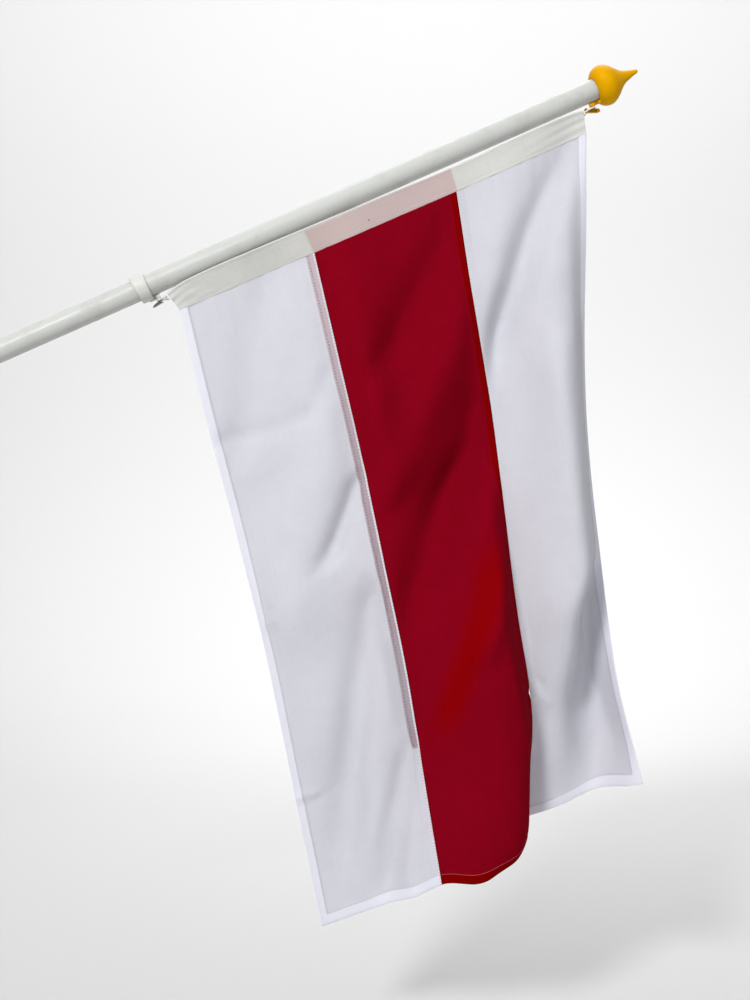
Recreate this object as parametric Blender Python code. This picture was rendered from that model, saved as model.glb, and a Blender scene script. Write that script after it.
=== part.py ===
"""A small white, red and white national flag on a slanting house-front pole.

The cloth is three bands sewn side by side, hemmed on its free edges and closed along the pole by a
folded heading tape. A cord loop at each end of the heading hooks onto the pole's end cap and onto a
ring clipped round the pole, so the bands hang straight down and gather into slanting folds.

The origin is the centre of the pole's butt end. The pole rises towards +X, the cloth hangs towards -Z
and its folds stand out along Y, with the viewer's side at -Y. Sizes are in millimetres unless a name
says otherwise, and become metres where a mesh is made.
"""

import math
from collections import namedtuple

import bmesh
import bpy
import numpy as np

MM = 0.001

# The pole, a round white rod, whose tip is inside the end cap. The places on the cap and its hook are
# counted from CAP_PLACE along the pole.
CAP_PLACE = 1000.0
TIP_IN_CAP = 10.0
POLE_LENGTH = CAP_PLACE + TIP_IN_CAP
POLE_RADIUS = 12.5
POLE_SLOPE = math.radians(24.5)
BUTT_CHAMFER = 1.0
ROUND_STEPS = 32

# The cloth: three bands side by side along the pole, the fly hanging down. Hard pieces stand a piece
# gap apart, and the edges of the sewn cloths a seam gap.
BAND_WIDTHS = (168.0, 180.0, 168.0)
FLY = 750.0
CLOTH_THICK = 1.2
HEM_THICK = 2.0
HEM_WIDTH = 10.0
BOTTOM_HEM = 12.5
PIECE_GAP = 0.3
SEAM_GAP = 0.6

# The heading tape, folded over the edge of the cloth. The columns give the line of its fold, which
# rests against the viewer's side of the pole and drops away from it at both corners: along the pole,
# behind its axis, over its axis.
HEADING_THICK = 2.0
HEADING_ROLL = 0.6
HEADING_TOP_LINE = (
    (455, -4.0, -17.2),
    (463, -6.4, -14.8),
    (472, -8.6, -13.2),
    (490, -10.0, -12.1),
    (510, -10.3, -11.6),
    (535, -10.3, -11.6),
    (560, -10.0, -12.0),
    (585, -9.7, -12.3),
    (615, -9.4, -12.9),
    (646, -8.8, -13.3),
    (693, -7.5, -14.2),
    (739, -6.0, -14.9),
    (785, -4.0, -16.2),
    (832, -3.5, -16.6),
    (878, -4.6, -15.4),
    (925, -5.0, -14.8),
    (955, -4.4, -15.1),
    (972, -3.0, -16.0),
    (981, -2.0, -17.4),
)

# The ring clip and the end cap, with the hooks moulded on them
RING_PLACE = 431.5
RING_LENGTH = 15.0
RING_SLANT = 2.0
RING_OUTER = 16.5
RING_EDGE_ROUND = 1.0
CAP_BALL = 18.0
CAP_REAR = 14.0

# The cap's outside, from its point to its face: radius, height over the middle of its ball
CAP_OUTLINE = (
    (0, 42.0),
    (1.6, 41.4),
    (2.6, 39.5),
    (3.4, 35.7),
    (5.2, 30.0),
    (7.1, 24.5),
    (9.4, 20.7),
    (11.8, 17.6),
    (15.2, 13.8),
    (19.4, 9.2),
    (22.3, 4.6),
    (23.6, 0.0),
    (23.3, -4.0),
    (22.0, -7.8),
    (19.8, -11.0),
    (17.0, -13.0),
    (14.2, -CAP_REAR),
)

# The hooks below the pole. Each is a flat tongue and a prong that turns back under it, given by its
# middle line: over the pole's axis, along it from the cap's place or from the ring's middle, thickness,
# width.
CAP_HOOK = (
    ((-14.8, 8.0, 4.0, 5.0), (-14.8, -17.0, 4.0, 5.0)),
    (
        (-15.6, -15.4, 3.0, 5.0),
        (-18.6, -14.8, 3.2, 5.0),
        (-20.5, -11.8, 3.6, 5.0),
        (-22.0, -7.6, 4.2, 5.0),
        (-23.6, -3.1, 4.4, 5.0),
        (-24.4, -1.0, 3.4, 4.2),
        (-24.8, 0.2, 1.6, 2.6),
    ),
)
RING_HOOK = (
    ((-15.3, 2.0, 5.0, 5.0), (-15.6, 22.0, 4.6, 5.0)),
    (
        (-17.0, 20.4, 3.0, 5.0),
        (-20.5, 19.4, 3.2, 5.0),
        (-22.3, 15.5, 3.4, 5.0),
        (-22.8, 11.0, 3.4, 5.0),
        (-23.5, 6.8, 3.0, 4.6),
        (-24.3, 3.8, 2.2, 3.6),
        (-25.0, 2.2, 1.2, 2.6),
    ),
)

# The cord loops, each from the end of the heading round inside its hook and back: along the pole
# from the cap's place or from the ring's middle, behind its axis, over its axis
CORD_RADIUS = 1.2
OUTER_LOOP = (
    (-18.2, -3.3, -20.0),
    (-15.0, -4.7, -19.6),
    (-10.5, -5.0, -19.2),
    (-6.0, -3.6, -18.9),
    (-4.2, 0.0, -18.8),
    (-6.0, 3.6, -18.9),
    (-10.5, 5.0, -19.4),
    (-15.0, 4.7, -20.4),
    (-18.2, 4.0, -21.8),
)
INNER_LOOP = (
    (22.7, -4.0, -19.6),
    (19.0, -4.7, -19.6),
    (14.5, -4.4, -19.5),
    (11.2, -2.7, -19.45),
    (10.0, 0.0, -19.45),
    (11.2, 2.7, -19.45),
    (14.5, 4.4, -19.8),
    (19.0, 4.6, -20.8),
    (22.9, 3.8, -22.4),
)

# Where the four long lines of the cloth hang. The columns are down, the distance from the heading
# along the cloth, and across, back and up, the place measured from the heading's lower left corner.
CLOTH_CORNER = (435.0, 0.0, 155.0)
LEFT_EDGE = (
    (0, 0, 0, 0),
    (125, 29, 2, -121),
    (250, 60, 11, -240),
    (375, 90, 19, -360),
    (500, 115, 31, -481),
    (625, 139, 45, -602),
    (750, 164, 56, -723),
)
LOWER_SEAM = (
    (0, 153, 0, 68),
    (125, 181, -1, -52),
    (250, 209, 0, -172),
    (375, 234, -6, -293),
    (500, 259, -8, -414),
    (625, 279, -6, -536),
    (750, 299, -10, -657),
)
UPPER_SEAM = (
    (0, 317, 0, 141),
    (125, 337, 4, 16),
    (250, 360, 16, -108),
    (375, 375, 7, -234),
    (500, 390, 2, -359),
    (625, 411, 26, -482),
    (750, 399, 58, -600),
)
RIGHT_EDGE = (
    (0, 469, 0, 210),
    (125, 470, 6, 82),
    (250, 473, 25, -45),
    (375, 483, 40, -172),
    (500, 499, 46, -299),
    (625, 514, 34, -426),
    (750, 537, 4, -548),
)

# The folds of each band. Each runs straight from one place to another on the flat cloth, and rise
# is its share of the band's depth, towards the viewer where it is positive.
Fold = namedtuple("Fold", "across_from down_from across_to down_to half_width rise")
LOWER_WHITE_FOLDS = (
    (122, -30, 20, 200, 30, -1.0),
    (168, 20, 100, 330, 34, 0.7),
    (172, 250, 92, 352, 18, -0.6),
    (50, 240, 60, 620, 46, 0.8),
    (150, 380, 30, 730, 28, -1.5),
    (124, 460, 92, 720, 24, 0.9),
    (172, 555, 88, 750, 20, -1.2),
    (152, 640, 124, 830, 26, 0.8),
)
RED_FOLDS = (
    (215, -40, 185, 320, 34, 0.9),
    (376, -10, 196, 180, 34, -0.7),
    (366, 90, 190, 310, 40, 0.7),
    (388, 185, 172, 470, 42, -1.0),
    (392, 350, 270, 520, 30, 0.7),
    (330, 300, 266, 800, 76, 1.6),
    (214, 630, 204, 880, 30, 0.25),
)
UPPER_WHITE_FOLDS = (
    (510, -30, 345, 230, 28, -1.1),
    (420, -30, 370, 160, 34, 0.5),
    (478, 0, 430, 600, 50, 1.5),
    (500, 470, 486, 740, 44, -1.1),
    (462, 590, 446, 820, 38, -1.1),
    (398, 440, 398, 740, 36, 0.25),
)
FOLD_RUN_OUT = 0.3
FOLD_DROOP = 0.22
FOLD_SEAM_SHARE = 0.2
DEEPEST_FOLD_AT_HEADING = 4.0
DEEPEST_FOLD = 64.0
FOLDS_FULL_AT = 260.0
LEAST_FOLD_SHAPE = 0.25
ROW_POINTS = 121
HALVINGS = 30
SETTLE_STEP = 7.5
SETTLE_REACH = 5
SETTLE_SPREAD = 1.6

BAND_COLUMNS = 14
FLY_ROWS = 46
HEADING_ROWS = 6

COLOURS = {
    "white_paint": (0.78, 0.78, 0.74, 1.0),
    "yellow_plastic": (0.83, 0.46, 0.01, 1.0),
    "white_plastic": (0.80, 0.80, 0.78, 1.0),
    "white_cloth": (0.72, 0.74, 0.76, 1.0),
    "red_cloth": (0.27, 0.004, 0.016, 1.0),
    "tape": (0.70, 0.69, 0.62, 1.0),
    "cream_cord": (0.74, 0.68, 0.52, 1.0),
}
ROUGHNESS = {"white_paint": 0.45, "yellow_plastic": 0.35, "white_plastic": 0.4}


def clear_scene():
    for obj in list(bpy.data.objects):
        bpy.data.objects.remove(obj, do_unlink=True)


def make_material(name):
    material = bpy.data.materials.new(name)
    material.use_nodes = True
    shader = material.node_tree.nodes["Principled BSDF"]
    shader.inputs["Base Color"].default_value = COLOURS[name]
    shader.inputs["Roughness"].default_value = ROUGHNESS.get(name, 0.9)
    shader.inputs["Metallic"].default_value = 0.0
    return material


def add_object(name, data, material, parent=None):
    obj = bpy.data.objects.new(name, data)
    bpy.context.scene.collection.objects.link(obj)
    data.materials.append(material)
    obj.parent = parent
    return obj


def mesh_from(bm, name):
    """Closes a bmesh with its faces pointing out and shades it smooth but for its sharp edges."""
    bmesh.ops.remove_doubles(bm, verts=bm.verts, dist=1e-6)
    bmesh.ops.recalc_face_normals(bm, faces=bm.faces)
    mesh = bpy.data.meshes.new(name)
    bm.to_mesh(mesh)
    bm.free()
    mesh.shade_smooth()
    mesh.set_sharp_from_angle(angle=math.radians(50))
    return mesh


# Pieces round the pole. In these the pole's axis is local Z, and over is the distance from the axis
# on the upper side of the pole, which is local -X once the pole leans.


def pole_frame():
    frame = bpy.data.objects.new("pole_axis", None)
    frame.rotation_euler = (0.0, math.pi / 2 - POLE_SLOPE, 0.0)
    bpy.context.scene.collection.objects.link(frame)
    return frame


def turned(profile, closed=False):
    """Turns a profile of (radius, height) points once round local Z."""
    bm = bmesh.new()
    corners = [bm.verts.new((radius * MM, 0.0, height * MM)) for radius, height in profile]
    edges = [bm.edges.new(pair) for pair in zip(corners, corners[1:])]
    if closed:
        edges.append(bm.edges.new((corners[-1], corners[0])))
    bmesh.ops.spin(
        bm,
        geom=corners + edges,
        cent=(0, 0, 0),
        axis=(0, 0, 1),
        angle=2 * math.pi,
        steps=ROUND_STEPS,
        use_merge=True,
    )
    bmesh.ops.remove_doubles(bm, verts=bm.verts, dist=1e-6)
    return bm


def swept_bar(path):
    """A flat bar that follows rows of (over, along, thickness, width) in the plane of the pole's axis."""
    bm = bmesh.new()
    count = len(path)
    ring = None
    first = None
    for index, (over, along, thick, width) in enumerate(path):
        before = path[max(index - 1, 0)]
        after = path[min(index + 1, count - 1)]
        run = (after[0] - before[0], after[1] - before[1])
        length = math.hypot(*run)
        side = (-run[1] / length * thick / 2, run[0] / length * thick / 2)
        corners = []
        for sign, y in ((1, -width / 2), (1, width / 2), (-1, width / 2), (-1, -width / 2)):
            place = (-(over + sign * side[0]) * MM, y * MM, (along + sign * side[1]) * MM)
            corners.append(bm.verts.new(place))
        if ring:
            for k in range(4):
                bm.faces.new((ring[k], ring[(k + 1) % 4], corners[(k + 1) % 4], corners[k]))
        else:
            first = corners
        ring = corners
    bm.faces.new(first)
    bm.faces.new(list(reversed(ring)))
    bmesh.ops.recalc_face_normals(bm, faces=bm.faces)
    return bm


def join_hook(body, bars, start, material, parent):
    """Moulds the bars of a hook onto its ring or cap, as one body."""
    for index, bar in enumerate(bars):
        name = f"{body.name}_hook_former_{index}"
        path = [(over, start + along, thick, width) for over, along, thick, width in bar]
        former = add_object(name, mesh_from(swept_bar(path), name), material, parent)
        former.hide_render = True
        former.display_type = "WIRE"
        union = body.modifiers.new(name, "BOOLEAN")
        union.operation = "UNION"
        union.solver = "EXACT"
        union.object = former


def build_pole(frame, material):
    radius, length, cut = POLE_RADIUS, POLE_LENGTH, BUTT_CHAMFER
    profile = (
        (0, length),
        (radius - cut, length),
        (radius, length - cut),
        (radius, cut),
        (radius - cut, 0),
        (0, 0),
    )
    add_object("pole", mesh_from(turned(profile), "pole"), material, frame)


def build_end_cap(frame, material):
    """The onion-shaped cap pushed over the pole's tip, with the hook for the upper cord loop."""
    socket = POLE_RADIUS + PIECE_GAP
    socket_end = TIP_IN_CAP + PIECE_GAP - CAP_BALL
    outline = CAP_OUTLINE + ((socket, -CAP_REAR), (socket, socket_end), (0, socket_end))
    profile = [(radius, CAP_PLACE + CAP_BALL + height) for radius, height in outline]
    cap = add_object("finial", mesh_from(turned(profile), "finial"), material, frame)
    join_hook(cap, CAP_HOOK, CAP_PLACE, material, frame)


def build_ring(frame, material):
    """The ring clipped round the pole below the flag, cut a little askew, with the lower hook."""
    half = RING_LENGTH / 2
    inner = POLE_RADIUS + PIECE_GAP
    outline = (
        (inner, half),
        (RING_OUTER - RING_EDGE_ROUND, half),
        (RING_OUTER, half - RING_EDGE_ROUND),
        (RING_OUTER, RING_EDGE_ROUND - half),
        (RING_OUTER - RING_EDGE_ROUND, -half),
        (inner, -half),
    )
    profile = [(radius, RING_PLACE + height) for radius, height in outline]
    bm = turned(profile, closed=True)
    for vert in bm.verts:
        if vert.co.z < RING_PLACE * MM:
            vert.co.z += RING_SLANT * vert.co.x / RING_OUTER
    ring = add_object("collar", mesh_from(bm, "collar"), material, frame)
    join_hook(ring, RING_HOOK, RING_PLACE, material, frame)


# The hung cloth


def smooth_read(rows, at):
    """Reads a table's row at any value of its first column, along a smooth curve through its rows."""
    data = np.array(rows, float)
    stations, values = data[:, 0], data[:, 1:]
    slopes = np.gradient(values, stations, axis=0)
    k = int(np.clip(np.searchsorted(stations, at, side="right") - 1, 0, len(stations) - 2))
    span = stations[k + 1] - stations[k]
    t = (at - stations[k]) / span
    start = (1 + 2 * t) * (1 - t) ** 2 * values[k] + t * (1 - t) ** 2 * span * slopes[k]
    end = t * t * (3 - 2 * t) * values[k + 1] - t * t * (1 - t) * span * slopes[k + 1]
    return start + end


def ease(t):
    t = min(max(t, 0.0), 1.0)
    return t * t * (3 - 2 * t)


def fold_shape(folds, across, down):
    """The rises of all the folds that cross one row of a band, added up."""
    total = np.zeros_like(across)
    for fold in map(Fold._make, folds):
        part = (down - fold.down_from) / (fold.down_to - fold.down_from)
        run_out = ease((min(part, 1 - part) + FOLD_RUN_OUT / 6) / FOLD_RUN_OUT)
        middle = fold.across_from + (fold.across_to - fold.across_from) * part
        total += fold.rise * run_out * np.exp(-(((across - middle) / fold.half_width) ** 2))
    return total


BAND_LINES = ((LEFT_EDGE, LOWER_SEAM), (LOWER_SEAM, UPPER_SEAM), (UPPER_SEAM, RIGHT_EDGE))
BAND_FOLDS = (LOWER_WHITE_FOLDS, RED_FOLDS, UPPER_WHITE_FOLDS)
BAND_STARTS = (0.0, BAND_WIDTHS[0], BAND_WIDTHS[0] + BAND_WIDTHS[1])
HOIST = sum(BAND_WIDTHS)


def band_row(band, down):
    """One row of a band: the straight line between its two long lines, and the way its folds push."""
    low, high = (smooth_read(line, down) for line in BAND_LINES[band])
    share = np.linspace(0.0, 1.0, ROW_POINTS)
    chord = high - low
    straight = low + share[:, None] * chord
    held = np.minimum(1.0, np.minimum(share, 1 - share) / FOLD_SEAM_SHARE)
    across = BAND_STARTS[band] + share * BAND_WIDTHS[band]
    shape = fold_shape(BAND_FOLDS[band], across, down) * np.sin(held * math.pi / 2)
    out = np.array((chord[1], -chord[0], 0.0))
    out = out / np.linalg.norm(out) - np.array((0.0, 0.0, FOLD_DROOP))
    return straight, shape[:, None] * out


def row_length(points):
    return np.linalg.norm(np.diff(points, axis=0), axis=1).sum()


def fold_depth(band, down):
    """How deep the folds of a row are, so that the row keeps the width the band was cut to."""
    straight, push = band_row(band, down)
    shallow = DEEPEST_FOLD_AT_HEADING
    deepest = shallow + (DEEPEST_FOLD - shallow) * ease(down / FOLDS_FULL_AT)
    low = 0.0
    high = deepest / max(np.abs(push).max(), LEAST_FOLD_SHAPE)
    for _ in range(HALVINGS):
        middle = (low + high) / 2
        if row_length(straight + middle * push) < BAND_WIDTHS[band]:
            low = middle
        else:
            high = middle
    return low


def settled_depths():
    """The fold depths at even steps down the fly, each averaged with its neighbours."""
    steps = np.arange(0.0, FLY + 1.0, SETTLE_STEP)
    weights = np.exp(-np.linspace(-SETTLE_SPREAD, SETTLE_SPREAD, 2 * SETTLE_REACH + 1) ** 2)
    weights /= weights.sum()
    depths = []
    for band in range(3):
        raw = np.array([fold_depth(band, down) for down in steps])
        padded = np.pad(raw, SETTLE_REACH, mode="edge")
        depths.append(np.convolve(padded, weights, mode="valid"))
    return steps, depths


def cloth_rows(across_stops, down_stops):
    """The middle surface of the whole cloth, as rows of points in millimetres."""
    steps, depths = settled_depths()
    rows = np.zeros((len(down_stops), len(across_stops), 3))
    for r, down in enumerate(down_stops):
        for band in range(3):
            straight, push = band_row(band, down)
            line = straight + np.interp(down, steps, depths[band]) * push
            run = np.concatenate(([0.0], np.cumsum(np.linalg.norm(np.diff(line, axis=0), axis=1))))
            start, width = BAND_STARTS[band], BAND_WIDTHS[band]
            inside = (across_stops >= start - 1e-6) & (across_stops <= start + width + 1e-6)
            wanted = (across_stops[inside] - start) / width * run[-1]
            for axis in range(3):
                rows[r, inside, axis] = np.interp(wanted, run, line[:, axis])
    return rows + np.array(CLOTH_CORNER)


def band_stops(band):
    """Where a band's columns stand: evenly, but with one at the stitching of a hemmed edge."""
    start, width = BAND_STARTS[band], BAND_WIDTHS[band]
    end = start + width
    if band == 0:
        return np.concatenate(([start], np.linspace(start + HEM_WIDTH, end, BAND_COLUMNS)))
    if band == 2:
        return np.concatenate((np.linspace(start, end - HEM_WIDTH, BAND_COLUMNS), [end]))
    return np.linspace(start, end, BAND_COLUMNS + 1)


def all_stops():
    """The columns of each band, and those of the whole cloth in one row."""
    stops = [band_stops(band) for band in range(3)]
    return stops, np.concatenate((stops[0], stops[1][1:], stops[2][1:]))


def unit(vectors):
    return vectors / np.linalg.norm(vectors, axis=-1, keepdims=True)


def sheet_mesh(name, middle, normals, thickness):
    """A closed sheet round a grid of middle points, as thick at each point as the table says."""
    rows, columns = middle.shape[:2]
    bm = bmesh.new()
    bmesh.ops.create_grid(bm, x_segments=columns - 1, y_segments=rows - 1, size=1.0)
    bmesh.ops.triangulate(bm, faces=bm.faces, quad_method="ALTERNATE")
    cells = {}
    for vert in bm.verts:
        column = round((vert.co.x + 1) / 2 * (columns - 1))
        row = round((vert.co.y + 1) / 2 * (rows - 1))
        cells[vert] = (row, column)
    front = list(bm.verts)
    rim = [edge for edge in bm.edges if edge.is_boundary]
    copy = bmesh.ops.duplicate(bm, geom=bm.verts[:] + bm.edges[:] + bm.faces[:])
    twin = copy["vert_map"]
    back_rim = [copy["edge_map"][edge] for edge in rim]
    offset = normals * (thickness / 2)[..., None]
    for vert in front:
        cell = cells[vert]
        vert.co = (middle[cell] + offset[cell]) * MM
        twin[vert].co = (middle[cell] - offset[cell]) * MM
    bmesh.ops.bridge_loops(bm, edges=rim + back_rim)
    return mesh_from(bm, name)


def build_bands(white, red):
    stops, across = all_stops()
    down = np.concatenate((np.linspace(0.0, FLY - BOTTOM_HEM, FLY_ROWS), [FLY]))
    middle = cloth_rows(across, down)
    along = np.gradient(middle, across, axis=1)
    fall = np.gradient(middle, down, axis=0)
    normals = unit(np.cross(along, fall))
    sideways = np.cross(unit(fall), normals)
    middle[0] += np.cross(normals, unit(along))[0] * SEAM_GAP / 2
    names = ("lower_white_panel", "red_panel", "upper_white_panel")
    first = 0
    for band, name in enumerate(names):
        last = first + len(stops[band]) - 1
        part = slice(first, last + 1)
        points = middle[:, part].copy()
        if band > 0:
            points[:, 0] += sideways[:, first] * SEAM_GAP / 2
        if band < 2:
            points[:, -1] -= sideways[:, last] * SEAM_GAP / 2
        thickness = np.full(points.shape[:2], CLOTH_THICK)
        thickness[-2:] = HEM_THICK
        if band == 0:
            thickness[:, :2] = HEM_THICK
        if band == 2:
            thickness[:, -2:] = HEM_THICK
        mesh = sheet_mesh(name, points, normals[:, part], thickness)
        add_object(name, mesh, red if band == 1 else white)
        first = last


def pole_point(along, back, over):
    """World place, in millimetres, of a point given along, behind and over the pole's axis."""
    rise, run = math.sin(POLE_SLOPE), math.cos(POLE_SLOPE)
    return np.array((along * run - over * rise, back, along * rise + over * run))


def heading_top(share):
    """A place on the folded upper edge of the heading, by its share of the way along the tape."""
    start, end = HEADING_TOP_LINE[0][0], HEADING_TOP_LINE[-1][0]
    along = start + share * (end - start)
    back, over = smooth_read(HEADING_TOP_LINE, along)
    return pole_point(along, back, over)


def build_heading(material):
    across = all_stops()[1]
    lower = cloth_rows(across, np.array((0.0,)))[0]
    middle = np.zeros((HEADING_ROWS, len(across), 3))
    for column, place in enumerate(across):
        top = heading_top(place / HOIST)
        low = lower[column] + unit(top - lower[column]) * SEAM_GAP / 2
        for row in range(HEADING_ROWS):
            share = row / (HEADING_ROWS - 1)
            middle[row, column] = low + (top - low) * share
    along = np.gradient(middle, axis=1)
    climb = np.gradient(middle, axis=0)
    normals = unit(np.cross(climb, along))
    thickness = np.full(middle.shape[:2], HEADING_THICK)
    thickness[-2] += HEADING_ROLL / 2
    thickness[-3] += HEADING_ROLL
    mesh = sheet_mesh("heading", middle, normals, thickness)
    add_object("heading", mesh, material)


def cord_loop(name, route, start, material):
    """A round cord along a smooth curve through places by the pole, counted along it from start."""
    knots = [pole_point(start + along, back, over) for along, back, over in route]
    stations = np.arange(len(knots), dtype=float)
    rows = np.column_stack((stations, np.array(knots)))
    count = 3 * (len(knots) - 1) + 1
    points = [smooth_read(rows, at) for at in np.linspace(0, stations[-1], count)]
    curve = bpy.data.curves.new(name, "CURVE")
    curve.dimensions = "3D"
    curve.bevel_depth = CORD_RADIUS * MM
    curve.bevel_resolution = 2
    curve.use_fill_caps = True
    curve.twist_mode = "MINIMUM"
    spline = curve.splines.new("POLY")
    spline.points.add(count - 1)
    for point, place in zip(spline.points, points):
        point.co = (*(place * MM), 1.0)
    add_object(name, curve, material)


clear_scene()
materials = {name: make_material(name) for name in COLOURS}
pole_axis = pole_frame()
build_pole(pole_axis, materials["white_paint"])
build_end_cap(pole_axis, materials["yellow_plastic"])
build_ring(pole_axis, materials["white_plastic"])
build_bands(materials["white_cloth"], materials["red_cloth"])
build_heading(materials["tape"])
cord_loop("outer_loop", OUTER_LOOP, CAP_PLACE, materials["cream_cord"])
cord_loop("inner_loop", INNER_LOOP, RING_PLACE, materials["white_cloth"])
bpy.context.view_layer.update()
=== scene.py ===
"""A small white, red and white flag on its pole, in cloth, thread, cord, paint and plastic.

The tables of sizes are in millimetres. They are turned into metres where a mesh is made.
"""

import math
from collections import namedtuple

import bmesh
import bpy
import numpy as np
from mathutils import Matrix, Vector


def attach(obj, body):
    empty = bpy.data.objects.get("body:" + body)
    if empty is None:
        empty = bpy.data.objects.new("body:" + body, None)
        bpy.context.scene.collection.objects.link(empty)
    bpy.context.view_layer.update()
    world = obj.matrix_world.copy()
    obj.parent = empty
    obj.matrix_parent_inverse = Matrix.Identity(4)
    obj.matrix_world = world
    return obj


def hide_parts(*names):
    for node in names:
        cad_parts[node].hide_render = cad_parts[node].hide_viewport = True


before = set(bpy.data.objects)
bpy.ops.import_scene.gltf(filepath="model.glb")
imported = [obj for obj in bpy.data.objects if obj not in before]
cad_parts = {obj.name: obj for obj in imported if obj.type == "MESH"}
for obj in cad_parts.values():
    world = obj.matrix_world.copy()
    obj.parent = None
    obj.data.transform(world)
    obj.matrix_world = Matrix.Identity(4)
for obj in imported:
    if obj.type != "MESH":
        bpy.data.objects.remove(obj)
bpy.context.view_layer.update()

MM = 0.001

# The camera stands in front of the flag, level with the middle of the whole and a little to its
# left. It is close enough for the lower end of the pole to leave the picture.

CAMERA_AIM = Vector((657.8, 0.0, -61.1)) * MM
CAMERA_AWAY = 1.5
CAMERA_TURN = math.radians(-4.0)
CAMERA_LENS = 46.96

camera_data = bpy.data.cameras.new("camera")
camera_data.lens = CAMERA_LENS
camera = bpy.data.objects.new("camera", camera_data)
camera.location = CAMERA_AIM + CAMERA_AWAY * Vector((math.sin(CAMERA_TURN), -math.cos(CAMERA_TURN), 0))
camera.rotation_euler = (math.pi / 2, 0, CAMERA_TURN)
bpy.context.scene.collection.objects.link(camera)
bpy.context.scene.camera = camera
bpy.context.scene.view_settings.view_transform = "Standard"

# The pole is a turned softwood rod under white paint. Its butt goes into a holder on the wall, its
# tip into the cap. The paint shows the grain as faint long streaks, and is rubbed where hands hold it.

POLE_SLOPE = math.radians(24.5)
POLE_TILT = Matrix.Rotation(math.pi / 2 - POLE_SLOPE, 4, "Y")
POLE_RADIUS = 12.5
CAP_PLACE = 1000.0
TIP_IN_CAP = 10.0
ROUND_STEPS = 96
POLE_RIM = 1.0
RIM_POINTS = 5
ROD_STOPS = 34
ROD_END = 20.0


class Wire:
    """An output of a node, which can be used in sums with numbers and other outputs."""

    def __init__(self, socket):
        self.socket = socket

    def node(self, kind, settings, inputs, output=0):
        """Adds a node with its settings and the values or links of its inputs, and gives its output."""
        tree = self.socket.id_data
        made = tree.nodes.new("ShaderNode" + kind)
        for name, value in settings.items():
            setattr(made, name, value)
        for name, value in inputs.items():
            if isinstance(value, Wire):
                tree.links.new(value.socket, made.inputs[name])
            else:
                made.inputs[name].default_value = value
        return Wire(made.outputs[output])

    def maths(self, operation, *others):
        inputs = dict(enumerate((self, *others)))
        return self.node("Math", {"operation": operation}, inputs)

    def __add__(self, other):
        return self.maths("ADD", other)

    def __sub__(self, other):
        return self.maths("SUBTRACT", other)

    def __rsub__(self, other):
        return (self * -1.0) + other

    def __mul__(self, other):
        return self.maths("MULTIPLY", other)

    __radd__ = __add__
    __rmul__ = __mul__

    def between(self, low, high, soft):
        """1 where the value lies between low and high, 0 outside, with soft edges."""
        ramp = {"interpolation_type": "SMOOTHSTEP"}
        rise = {"Value": self, "From Min": low - soft / 2, "From Max": low + soft / 2}
        fall = {"Value": self, "From Min": high + soft / 2, "From Max": high - soft / 2}
        return self.node("MapRange", ramp, rise) * self.node("MapRange", ramp, fall)

    def spread(self, low, high, at_low=0.0, at_high=1.0):
        """Carries the range from low to high over to the range from at_low to at_high."""
        names = ("Value", "From Min", "From Max", "To Min", "To Max")
        return self.node("MapRange", {}, dict(zip(names, (self, low, high, at_low, at_high))))

    def blend(self, colour, other):
        """The first colour where this is 0, and the other where it is 1."""
        return self.node("Mix", {"data_type": "RGBA"}, {0: self, 6: colour, 7: other}, output=2)

    def stretched(self, scale, turn=(0.0, 0.0, 0.0)):
        """The place, turned and drawn out, for a pattern that runs one way."""
        turned_place = self.node("Mapping", {}, {"Vector": self, "Rotation": turn})
        return turned_place.node("Mapping", {}, {"Vector": turned_place, "Scale": scale})

    def noise(self, scale, detail=3.0, rough=0.5):
        """Soft random values round 0.5 for a place in metres, scale being the spots in a metre."""
        names = ("Vector", "Scale", "Detail", "Roughness")
        return self.node("TexNoise", {}, dict(zip(names, (self, scale, detail, rough))))

    def relief(self, height, strength=1.0):
        """A normal for a surface raised by this value times height, in metres."""
        return self.node("Bump", {}, {"Height": self, "Distance": height, "Strength": strength})


class Finish:
    """A material with a Principled shader whose even values are set on the shader itself."""

    def __init__(self, name, **even):
        self.material = bpy.data.materials.new(name)
        self.material.use_nodes = True
        nodes = self.material.node_tree.nodes
        self.shader = nodes["Principled BSDF"]
        self.ending = nodes["Material Output"]
        for socket, value in even.items():
            self.shader.inputs[socket.replace("_", " ")].default_value = value
        self.place = Wire(nodes.new("ShaderNodeTexCoord").outputs["Object"])

    def lay(self, **wires):
        """Links what varies over the surface to the shader."""
        for socket, wire in wires.items():
            target = self.shader.inputs[socket.replace("_", " ")]
            self.material.node_tree.links.new(wire.socket, target)


def place_piece(name, mesh, finish, *nodes, slot=None):
    """Puts a finished mesh on the part, for the CAD nodes that it stands for."""
    piece = bpy.data.objects.new(name, mesh)
    bpy.context.scene.collection.objects.link(piece)
    mesh.materials.clear()
    mesh.materials.append(finish.material)
    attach(piece, "root")
    if nodes:
        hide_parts(*nodes)
    return piece


def mesh_of(bm, name, sharp=40):
    """A mesh from a closed bmesh, its faces pointing out, smooth but for its sharp edges."""
    bmesh.ops.remove_doubles(bm, verts=bm.verts, dist=1e-6)
    bmesh.ops.recalc_face_normals(bm, faces=bm.faces)
    mesh = bpy.data.meshes.new(name)
    bm.to_mesh(mesh)
    bm.free()
    mesh.shade_smooth()
    mesh.set_sharp_from_angle(angle=math.radians(sharp))
    return mesh


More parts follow.
